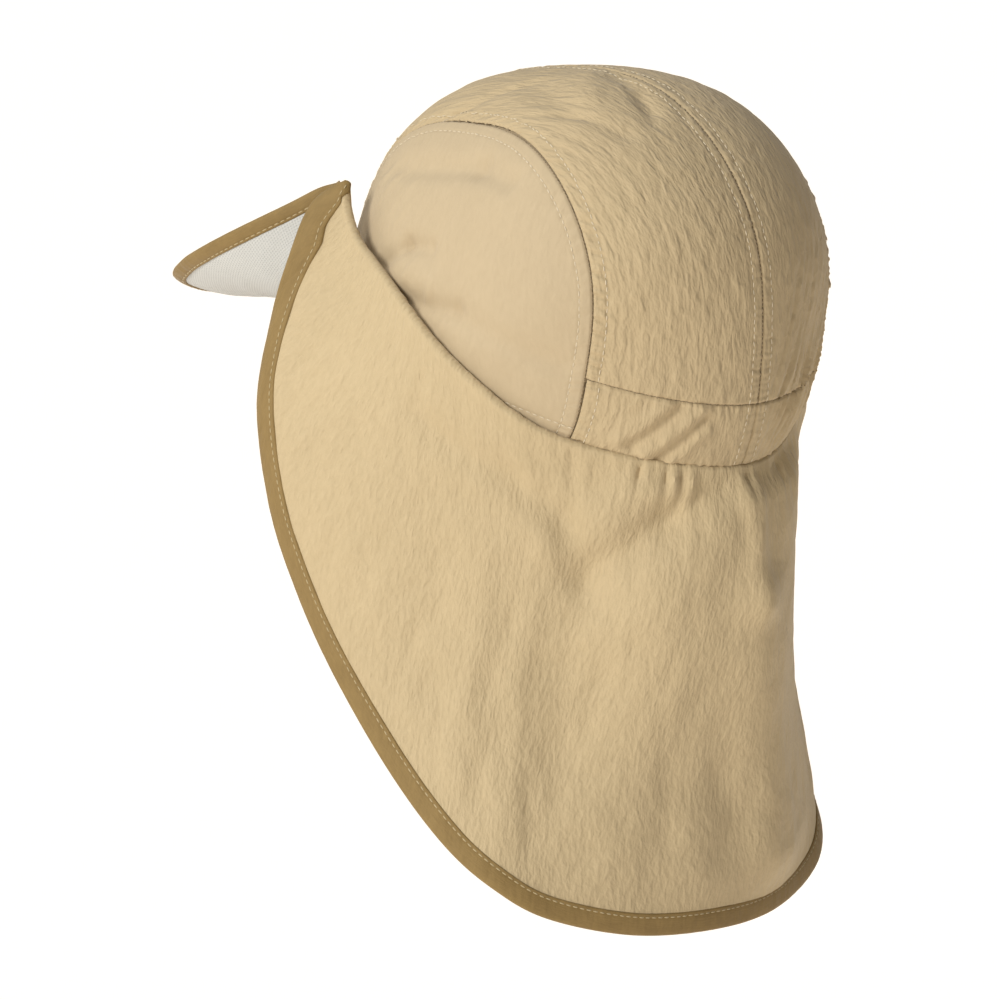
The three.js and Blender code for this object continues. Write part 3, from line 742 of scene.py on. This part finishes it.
def centre_panel(side, name, material):
    """Half of the strip over the head: lays its cloth, and gives its seams' lines and its topstitch rows."""
    rows, columns = CENTRE_GRID
    share, first = half_shares(columns, side)
    turn_share = spaced(rows, False)[:, None]
    lowest = band_turn(strip_edge(np.zeros(1)), BAND_HEIGHT)
    edge = strip_edge(lowest + (180 - lowest) * turn_share) - SEAM_GAP / 2
    across = SEAM_GAP / 2 + np.where(share < 0, share, (edge - SEAM_GAP / 2) * share)
    start = band_turn(across, BAND_HEIGHT + SEAM_GAP / 2)
    grid = tilted(crown_points(side * across, start + (180 - start) * turn_share))
    up = outward(grid)
    from_centre, from_side, flat = half_measures(grid, first, side)
    from_band = flat[..., 1]
    kinds = (f"{name}_centre", "centre_fine")
    relief = half_relief(from_centre, from_side, flat, kinds, CENTRE_FREE, CENTRE_HELD, 31)
    relief += -BAND_FOLD * hump(from_band, SEAM_ROUND)
    leaning = from_centre - PLEAT_LEAN * from_band
    relief += pleated("crown_elastic", leaning, from_band, from_band) * tight_end(grid)
    relief += pleated("crown_short", from_centre, from_band, from_band)
    if side > 0:
        relief += fold_heights(TOP_DENTS, flat / MM)
    grid = drawn_in(grid + relief[..., None] * up, from_band + BAND_HEIGHT)
    crown_cloth("centre_panel", side, name, grid, flat, material)
    return (grid[:, first], up[:, first]), (grid[0], up[0]), rows_beside(grid, up, from_centre)


def back_band(side, name, material):
    """Half of the low band at the back: lays its cloth, and gives its topstitch rows."""
    rows, columns = BAND_GRID
    share, first = half_shares(columns, side)
    across = SEAM_GAP / 2 + np.where(share < 0, share, (strip_edge(np.zeros(1)) - SEAM_GAP) * share)
    top = band_turn(across, BAND_HEIGHT - SEAM_GAP / 2)
    risen = top + np.degrees(UNDERLAP[::-1] / BACK_REACH)[:, None]
    turns = np.concatenate([top * spaced(rows)[:, None], risen])
    grid = tilted(crown_points(side * across, turns))
    up = outward(grid)
    from_centre, from_side, flat = half_measures(grid, first, side)
    from_base = flat[..., 1]
    from_top = from_base[rows : rows + 1] - from_base
    relief = half_relief(from_centre, from_side, flat, ("band", "band_fine"), BAND_FREE, BAND_HELD, 41)
    relief += fold_heights(BAND_FOLDS, flat / MM)
    leaning = from_centre + PLEAT_LEAN * from_top
    relief += pleated("band_elastic", leaning, from_top, from_top) * tight_end(grid)
    relief += pleated("band_short", from_centre, from_base, np.minimum(np.abs(from_top), from_base))
    relief += -BAND_FOLD * (hump(np.maximum(from_top, 0), SEAM_ROUND) + 0.5 * hump(from_base, SEAM_ROUND))
    relief = np.minimum(relief, np.where(from_top < 0, -BAND_FOLD - UNDER_DEPTH, relief))
    grid = drawn_in(grid + relief[..., None] * up, from_base)
    crown_cloth("back_band", side, name, grid, flat, material)
    return rows_beside(grid[: rows + 1], up[: rows + 1], from_centre[: rows + 1])


def arc_stops(points, count, stops=None):
    """Points at even distances along each line of points, or at distances from its end."""
    placed = []
    for k, (line, run) in enumerate(zip(points, lengths(points, 1))):
        at = np.linspace(0, run[-1], count + 1) if stops is None else run[-1] - stops[k]
        placed.append(points_at(at, run, line))
    return np.array(placed)


def bezier(first, second, third, last):
    t = np.linspace(0, 1, CURVE_STEPS + 1)[None, :, None]
    ends = (1 - t) ** 3 * first[:, None] + t**3 * last[:, None]
    return ends + 3 * t * (1 - t) ** 2 * second[:, None] + 3 * t * t * (1 - t) * third[:, None]


def flap_lines(numbers):
    """The flap's sections: around in degrees, the rise to the ridge and its roll, and the fall to the hem."""
    side = np.where(numbers < 0, -1.0, 1.0)
    number = np.abs(numbers)
    around = side * blend(RIDGE, "around", number)
    over = blend(RIDGE, "over", number)
    stand = RIDGE_STAND * blend(RIDGE, "stand", number)
    rise = RIDGE_RISE * blend(RIDGE, "rise", number)
    forward = RIDGE_FORWARD * blend(RIDGE, "forward", number)
    radius = ROLL_RADIUS * blend(RIDGE, "roll", number)
    climb = [seam_place(around, -TUCK - over * RIDGE_TUCK, -SEAM_DROP)]
    root_away = stand - (1 - over) * ROOT_LEAN
    for share in np.linspace(0, 1, RISER_COLUMNS + 1):
        away = root_away + (stand - root_away) * share
        climb.append(seam_place(around, away, -SEAM_DROP, rise * share, forward * share))
    start = math.pi / 2 * (1 + over)
    centre_away, centre_up = stand - radius * np.cos(start), rise - radius * np.sin(start)
    for share in np.linspace(0, 1, ROLL_COLUMNS + 1)[1:]:
        angle = start * (1 - share)
        away, risen = centre_away + radius * np.cos(angle), centre_up + radius * np.sin(angle)
        climb.append(seam_place(around, away, -SEAM_DROP, risen, forward))
    top = climb[-1]
    hem = hem_points(side, number)
    way = unit(hem_points(side, number + HEM_STEP) - hem_points(side, number - HEM_STEP))
    hem = hem + unit(top - hem) * HEM_INSET / slant(way, unit(top - hem))
    fall = hem - top
    far = np.linalg.norm(fall, axis=-1)
    out = unit(seam_place(around, far, 0.0) - seam_place(around, 0.0, 0.0))
    swing = out * (far * blend(HEM, "flare", number))[:, None]
    drop = (fall - far[:, None] * np.array([0.0, 0.0, 1.0])) / 2
    falls = bezier(top, top + (drop + swing) / 3, hem - (drop - swing) / 3, hem)
    return around, np.stack(climb, 1), falls


def hem_points(side, number):
    """The hem's nominal line, by the row numbers of its table."""
    return np.stack([
        side * HEAD_HALF_WIDTH * blend(HEM, "across", number),
        BACK_REACH * blend(HEM, "back", np.abs(number), level=0),
        FLAP_DROP * blend(HEM, "up", np.abs(number), level=0),
    ], -1)


def slant(first, second):
    """How squarely two directions meet, from 1 where they are square."""
    return np.maximum(np.linalg.norm(np.cross(first, second), axis=-1, keepdims=True), LEAST_SLANT)


def even_numbers(last, count, lines_of):
    """Row numbers from -last to last that put sections at even distances."""
    numbers = np.linspace(-last, last, ROW_SAMPLES * last + 1)
    lines = lines_of(numbers)
    run = sum(lengths(lines[:, k], 0) for k in (0, lines.shape[1] // 2, -1))
    return np.interp(np.linspace(0, run[-1], count + 1), run, numbers)


def fold_lift(around, percent):
    """Height of the flap's drape folds, which start below its seam and end above its binding."""
    places = np.stack(np.broadcast_arrays(around, percent), -1)
    within = ease(percent, *FOLD_START) * (1 - ease(percent, *FOLD_STOP))
    return fold_heights(FOLDS, places) * within


def neck_flap(material, tape):
    """The flap and its binding: lays both, and gives their topstitch rows."""
    last = len(RIDGE) - 1
    around, climb, falls = flap_lines(even_numbers(last, FLAP_ROWS, lambda n: flap_lines(n)[2]))
    grid = np.concatenate([climb, arc_stops(falls, FALL_COLUMNS)[:, 1:]], 1)
    up = normals(grid)
    around = around[:, None]
    percent = np.append(np.zeros(climb.shape[1] - 1), np.linspace(0, 100, FALL_COLUMNS + 1))
    from_ridge = lengths(grid, 1) - lengths(climb, 1)[:, -1:]
    down = np.maximum(from_ridge, 0)
    middle = climb.shape[1] + FALL_COLUMNS // 3
    across = lengths(grid, 0)[:, middle : middle + 1]
    across = across - across[len(across) // 2]
    fixed = ease(down[:, -1:] - down, *FLAP_RIM_FREE)
    free = ease(down, *FLAP_TOP_FREE) * fixed
    back = 1 - ease(np.abs(around), *FLAP_PLEATS_END)
    relief = fold_lift(around, percent) + crumpled("flap", across, down) * free
    relief += crumpled("flap_fine", across, down) * fixed * ease(down, *FLAP_FINE_FREE)
    pleats = pleated("flap", across, down, down) + pleated("flap_small", across, down, down)
    relief += pleats * ease(down, *FLAP_PLEATS_START) * back
    rolled = hump(from_ridge + RIDGE_ROLL, RIDGE_SPREAD) * (1 - back)
    relief += RIDGE_PUCKER * wavy(across / RIDGE_CELL[0], down / RIDGE_CELL[1], 55) * rolled
    grid = drawn_in(grid + relief[..., None] * up, down)
    flat = np.stack(np.broadcast_arrays(across, lengths(grid, 1)), -1)
    piece = laid_sheet("neck_flap", grid, flat, material, offset=0)
    finish_piece(piece, "sand_cloth", "neck_flap")
    tape_numbers = even_numbers(last, FLAP_TAPE_ROWS, lambda n: flap_lines(n)[2][:, -2:])
    _, climb, falls = flap_lines(tape_numbers)
    lines = np.concatenate([climb[:, -ROLL_COLUMNS:], falls[:, 1:]], 1)
    corner = ease(np.abs(tape_numbers), *CORNER)[:, None]
    binding, stitches = bound_edge("flap_binding", lines, corner, CLOTH / 2, tape, BINDING_WIDTH)
    declare_cloth(grid)
    return stitches


def bound_edge(name, lines, corner, half_sheet, tape, wide):
    """A tape folded round the rim that a set of lines ends at, and its topstitch rows.

    Where the share corner is 1 it covers nearly a whole line, and half_sheet is half of what it wraps."""
    reach = np.array([w for w, _ in TAPE_PROFILE])
    lift = np.array([h for _, h in TAPE_PROFILE]) * (half_sheet + TAPE_GAP + TAPE / 2)
    whole = lengths(lines, 1)[:, -1:]
    square = slant(unit(np.gradient(lines[:, -1], axis=0)), unit(lines[:, -1] - lines[:, -1 - TAPE_AIM]))
    width = np.minimum(wide / square, MOST_BOUND * whole)
    width = width + (MOST_COVERED * whole - width) * corner
    half = arc_stops(lines, 0, np.maximum(reach, 0) * width)
    laid = normals(half[:, reach > 0])
    laid = np.concatenate([laid, np.repeat(laid[:, -1:], np.sum(reach <= 0), 1)], 1)
    rim = half[:, -1]
    out = unit(np.cross(np.gradient(rim, axis=0), laid[:, -1]))
    out = out * np.sign(np.sum(out * (rim - half[:, 0]), -1, keepdims=True))
    inner, up = np.concatenate([half, half[:, -2::-1]], 1), np.concatenate([laid, laid[:, -2::-1]], 1)
    reach = np.concatenate([reach, reach[-2::-1]]) * wide
    lift = np.concatenate([lift, -lift[-2::-1]])
    along = lengths(rim[:, None], 0)
    lift = lift + TAPE_WAVE * wavy(along / TAPE_WAVE_LENGTH, np.sign(lift) * TAPE_FACES, 61)
    grid = inner + np.maximum(-reach, 0)[None, :, None] * out[:, None] + lift[..., None] * up
    middle = len(grid) // 2
    flat = np.stack(np.broadcast_arrays(along, lengths(grid[middle : middle + 1], 1)), -1)
    binding = laid_sheet(name, grid, flat, tape, thickness=TAPE, offset=0)
    finish_piece(binding, "olive_binding", name)
    over = up[:, TAPE_ROW]
    raised = (TAPE / 2 + STITCH_LIFT) * over
    rows = [(grid[:, TAPE_ROW] + raised, over), (grid[:, -1 - TAPE_ROW] - raised, over)]
    return binding, rows


def visor_lines(numbers):
    """The visor's sections, each from under the crown's edge out to the rim."""
    side = np.where(numbers < 0, -1.0, 1.0)
    number = len(VISOR) - 1 - np.abs(numbers)
    around = side * blend(VISOR, "around", number)
    drop = -VISOR_DROP * blend(VISOR, "drop", number)
    start = seam_place(around, -TUCK, drop)
    rim = np.stack([
        side * VISOR_HALF_WIDTH * blend(VISOR, "across", number),
        -VISOR_REACH * blend(VISOR, "front", number, level=-1),
        RIM_RISE * blend(VISOR, "up", number, level=-1),
    ], -1)
    rim = rim + HEM_INSET * unit(start - rim)
    sink = VISOR_SAG * blend(VISOR, "sag", number)[:, None] * np.array([0.0, 0.0, -1.0])
    leave = seam_place(around, VISOR_LEAVE * blend(VISOR, "leave", number), drop) + sink
    return bezier(start, leave, rim + (start - rim) / 3 + sink, rim)


def visor(material, lining_material, tape):
    """The visor's two cloths and its binding: lays them, and gives their topstitch rows."""
    rows, columns = VISOR_GRID
    numbers = even_numbers(len(VISOR) - 1, rows, visor_lines)
    grid = arc_stops(visor_lines(numbers), columns)
    up = normals(grid)
    away, along = lengths(grid, 1), lengths(grid, 0)[:, -1:]
    fixed = ease(away[:, -1:] - away, *VISOR_RIM_FREE)
    relief = crumpled("visor", along, away) * fixed
    flat = np.stack(np.broadcast_arrays(along, away), -1)
    over, under = (grid + (relief + shift)[..., None] * up for shift in (-LAYER_SHIFT, LAYER_SHIFT))
    top = laid_sheet("visor_top", over, flat, material, VISOR_CLOTH, 0)
    finish_piece(top, "sand_cloth", "visor_top")
    lining = laid_sheet("visor_lining", under, flat, lining_material, LINING, 0)
    finish_piece(lining, "mesh_lining", "visor_lining")
    tape_numbers = even_numbers(len(VISOR) - 1, VISOR_TAPE_ROWS, lambda n: visor_lines(n)[:, -2:])
    lines = visor_lines(tape_numbers)
    half_sheet = LAYER_SHIFT + VISOR_CLOTH / 2
    binding, stitches = bound_edge("visor_binding", lines, 0, half_sheet, tape, VISOR_BINDING_WIDTH)
    declare_cloth(grid)
    declare_cloth(grid)
    return stitches


class Wire:
    """A value in a material's node tree; arithmetic on it adds Math nodes."""

    def __init__(self, tree, socket):
        self.tree, self.socket = tree, socket

    def math(self, operation, other):
        node = self.tree.nodes.new("ShaderNodeMath")
        node.operation = operation
        attach(self.tree, node.inputs[0], self)
        attach(self.tree, node.inputs[1], other)
        return Wire(self.tree, node.outputs[0])

    def __add__(self, other):
        return self.math("ADD", other)

    def __mul__(self, other):
        return self.math("MULTIPLY", other)

    def __sub__(self, other):
        return self.math("SUBTRACT", other)


def attach(tree, socket, value):
    if isinstance(value, Wire):
        tree.links.new(value.socket, socket)
    else:
        socket.default_value = value


class Finish:
    """A material built from one shader and the nodes that feed it."""

    def __init__(self, name, **constants):
        self.material = bpy.data.materials.new(name)
        self.material.use_nodes = True
        self.tree = self.material.node_tree
        self.shader = self.tree.nodes["Principled BSDF"]
        for socket, value in constants.items():
            self.shader.inputs[socket.replace("_", " ")].default_value = value

    def node(self, kind, settings=(), output=0, **inputs):
        node = self.tree.nodes.new(kind)
        for key, value in dict(settings).items():
            setattr(node, key, value)
        for socket, value in inputs.items():
            attach(self.tree, node.inputs[socket.replace("_", " ")], value)
        return Wire(self.tree, node.outputs[output])

    def flat_place(self, across, down):
        """The cloth's own flat measures, in steps of the given sizes in millimetres."""
        uv = self.node("ShaderNodeTexCoord", output="UV")
        node = self.tree.nodes.new("ShaderNodeVectorMath")
        node.operation = "MULTIPLY"
        attach(self.tree, node.inputs[0], uv)
        node.inputs[1].default_value = (1000 / across, 1000 / down, 1)
        return Wire(self.tree, node.outputs[0])

    def noise(self, across, down, detail=2.0, distortion=0.0, roughness=0.5):
        place = self.flat_place(across, down)
        return self.node(
            "ShaderNodeTexNoise", dict(noise_dimensions="2D"),
            Vector=place, Scale=1.0, Detail=detail, Distortion=distortion, Roughness=roughness,
        )

    def waves(self, across, down, axis):
        place = self.flat_place(across, down)
        return self.node(
            "ShaderNodeTexWave", dict(wave_type="BANDS", bands_direction=axis, wave_profile="SIN"), "Fac",
            Vector=place, Scale=0.5, Distortion=0.4, Detail=1.0,
        )

    def blend(self, factor, low, high):
        node = self.tree.nodes.new("ShaderNodeMix")
        node.data_type = "RGBA"
        node.clamp_factor = True
        attach(self.tree, node.inputs["Factor"], factor)
        attach(self.tree, node.inputs[6], low)
        attach(self.tree, node.inputs[7], high)
        return Wire(self.tree, node.outputs[2])

    def colour(self, wire):
        attach(self.tree, self.shader.inputs["Base Color"], wire)

    def rough(self, wire):
        attach(self.tree, self.shader.inputs["Roughness"], wire)

    def relief(self, height):
        """Raises the surface by a height in millimetres."""
        bump = self.node("ShaderNodeBump", Height=height, Distance=MM, Strength=1.0)
        attach(self.tree, self.shader.inputs["Normal"], bump)


def sand_finish(name, crinkle, creases, light, dark):
    """Thin crinkled nylon: uneven streaks down the cloth, a close weave and a little mottling."""
    cloth = Finish(name, Sheen_Weight=0.12, Sheen_Roughness=0.5, Specular_IOR_Level=0.25)
    streak = cloth.noise(1.7, 3.9, 1.0, 0.12, 0.45)
    broad = cloth.noise(3.6, 10, 1.5, 0.3)
    small = cloth.noise(0.8, 1.4, 1.0, 0.1)
    weave = cloth.waves(0.35, 1.0, "X") + cloth.waves(1.0, 0.35, "Y")
    mottle = cloth.noise(24, 40, 3.0)
    cloth.relief((streak + small * 0.25) * crinkle + broad * creases + weave * 0.008)
    cloth.colour(cloth.blend(streak * 0.5 + broad * 0.3 + mottle * 0.4 - 0.1, dark, light))
    cloth.rough(mottle * 0.12 + 0.64)
    return cloth.material


# The sand cloths: how strongly each is crinkled and creased, and its light and dark colour.
SAND_CLOTHS = table(
    "name crinkle creases light dark",
    ("sand_cloth", 0.4, 0.4, (0.54, 0.423, 0.248, 1), (0.44, 0.341, 0.192, 1)),
    ("crown_sand_cloth", 0.42, 0.85, (0.53, 0.412, 0.241, 1), (0.42, 0.322, 0.183, 1)),
    # The smooth cloth's low crinkle is its own, but its lighter colour is toned down: painted shade against
    # the key light that falls squarely on the side panels.
    ("smooth_sand_cloth", 0.16, 0.2, (0.5, 0.395, 0.247, 1), (0.445, 0.348, 0.214, 1)),
)


def binding_finish():
    """Olive woven tape: fine lengthwise ribs, a slight slub, and paler spots where the slub stands higher."""
    tape = Finish("olive_binding", Sheen_Weight=0.15, Sheen_Roughness=0.4, Specular_IOR_Level=0.3)
    ribs = tape.waves(1.0, 0.5, "Y")
    slub = tape.noise(4.5, 0.6, 2.0)
    mottle = tape.noise(11, 5, 3.0)
    buckle = tape.noise(3.2, 9, 1.0)
    tape.relief(ribs * 0.03 + slub * 0.06 + buckle * 0.3)
    tape.colour(tape.blend(slub * 0.45 + mottle * 0.55, (0.185, 0.118, 0.038, 1), (0.295, 0.197, 0.071, 1)))
    tape.rough(slub * 0.1 + 0.66)
    return tape.material


def mesh_finish():
    """Fine off-white mesh: rows of small dark holes."""
    mesh = Finish("mesh_lining", Sheen_Weight=0.1, Specular_IOR_Level=0.3)
    holes = mesh.waves(2.1, 1.0, "X") * mesh.waves(1.0, 1.7, "Y")
    mottle = mesh.noise(20, 20, 2.0)
    mesh.relief(holes * -0.12)
    mesh.colour(mesh.blend(holes * 0.55 + mottle * 0.15, (0.59, 0.59, 0.555, 1), (0.345, 0.35, 0.325, 1)))
    mesh.rough(mottle * 0.1 + 0.8)
    return mesh.material


def thread_finish(name, colour):
    """Plain thread with a slight twist."""
    thread = Finish(name, Sheen_Weight=0.2, Specular_IOR_Level=0.4)
    twist = thread.node("ShaderNodeTexNoise", Scale=2500.0, Detail=1.0,
                        Vector=thread.node("ShaderNodeTexCoord", output="Object"))
    dark = tuple(0.75 * c for c in colour[:3]) + (1,)
    thread.colour(thread.blend(twist, dark, colour))
    thread.rough(twist * 0.1 + 0.6)
    return thread.material


def camera_view():
    """The photograph's view: from behind and left of the wearer, a little above, from far off."""
    turn, rise = math.radians(135.865), math.radians(8.97)
    aim = Vector((32.2, -18.7, -57.1)) * MM
    way = Vector((math.sin(turn) * math.cos(rise), -math.cos(turn) * math.cos(rise), math.sin(rise)))
    distance, frame_width, sensor = 7.0, 388.65 * MM, 36.0
    bpy.ops.object.camera_add(location=aim + distance * way)
    camera = bpy.context.object
    camera.rotation_euler = way.to_track_quat("Z", "Y").to_euler()
    camera.data.sensor_width = sensor
    camera.data.lens = sensor * distance / frame_width
    camera.data.clip_end = 100
    bpy.context.scene.camera = camera


def sun(name, way, strength, angle):
    """A large soft light that shines from a direction."""
    bpy.ops.object.light_add(type="SUN", location=Vector(way) * 3)
    light = bpy.context.object
    light.name = name
    light.rotation_euler = Vector(way).to_track_quat("Z", "Y").to_euler()
    light.data.energy = strength
    light.data.angle = math.radians(angle)


def studio():
    """A pale floor well below the hat, seen from above only, in a white room."""
    bpy.ops.mesh.primitive_circle_add(vertices=96, radius=FLOOR_RADIUS, fill_type="NGON")
    floor = bpy.context.object
    floor.location.z = FLOOR_HEIGHT
    floor.name = "floor"
    paper = Finish("floor_paper", Roughness=0.9, Base_Color=(0.9, 0.9, 0.9, 1),
                   Emission_Color=(1, 0.8, 0.6, 1), Emission_Strength=0.42)
    behind = paper.node("ShaderNodeNewGeometry", output="Backfacing")
    clear = paper.tree.nodes.new("ShaderNodeBsdfTransparent")
    mixed = paper.tree.nodes.new("ShaderNodeMixShader")
    attach(paper.tree, mixed.inputs[0], behind)
    paper.tree.links.new(paper.shader.outputs[0], mixed.inputs[1])
    paper.tree.links.new(clear.outputs[0], mixed.inputs[2])
    paper.tree.links.new(mixed.outputs[0], paper.tree.nodes["Material Output"].inputs["Surface"])
    floor.data.materials.append(paper.material)
    world = bpy.data.worlds.new("white_room")
    world.use_nodes = True
    sky = world.node_tree.nodes["Background"].inputs
    sky["Color"].default_value = (1, 0.95, 0.87, 1)
    sky["Strength"].default_value = ROOM_LIGHT
    bpy.context.scene.world = world
    sun("key", (1.0, 0.1, 0.42), 2.65, 22)
    sun("overhead", (0.25, -0.35, 1.0), 1.5, 45)
    bpy.context.scene.view_settings.view_transform = "Standard"


deselect_all()
camera_view()
studio()

sand, crown_sand, smooth_painted_shade_sand = (sand_finish(**look) for look in SAND_CLOTHS)
olive = binding_finish()
lining_mesh = mesh_finish()
sand_thread = thread_finish("sand_thread", (0.7, 0.6, 0.42, 1))
# The seam stitches are real, but their dark colour is painted shade: it stands in for the shadow down in the
# seam grooves.
seam_thread_painted_shade = thread_finish("seam_thread_painted_shade", (0.24, 0.17, 0.09, 1))
olive_thread = thread_finish("olive_thread", (0.52, 0.41, 0.22, 1))

for side, name in ((1, "left"), (-1, "right")):
    # The side panels take the smooth cloth, whose darker tone is painted shade.
    seam, beside = side_panel(side, name, smooth_painted_shade_sand)
    centre_seam, band_seam, centre_rows = centre_panel(side, name, crown_sand)
    band_rows = back_band(side, name, crown_sand)
    stitch_row(f"topstitch_{name}", beside + centre_rows + band_rows, sand_thread)
    # Seam stitches in the dark thread, whose colour is painted shade along the seam lines.
    stitch_row(f"seam_stitch_{name}", [seam, centre_seam, band_seam], seam_thread_painted_shade, TIGHT_PITCH, TIGHT_LENGTH,
               SEAM_STITCH_WIDTH)

flap_rows = neck_flap(sand, olive)
visor_rows = visor(sand, lining_mesh, olive)
stitch_row("flap_topstitch", flap_rows, olive_thread)
stitch_row("visor_topstitch", visor_rows, olive_thread)
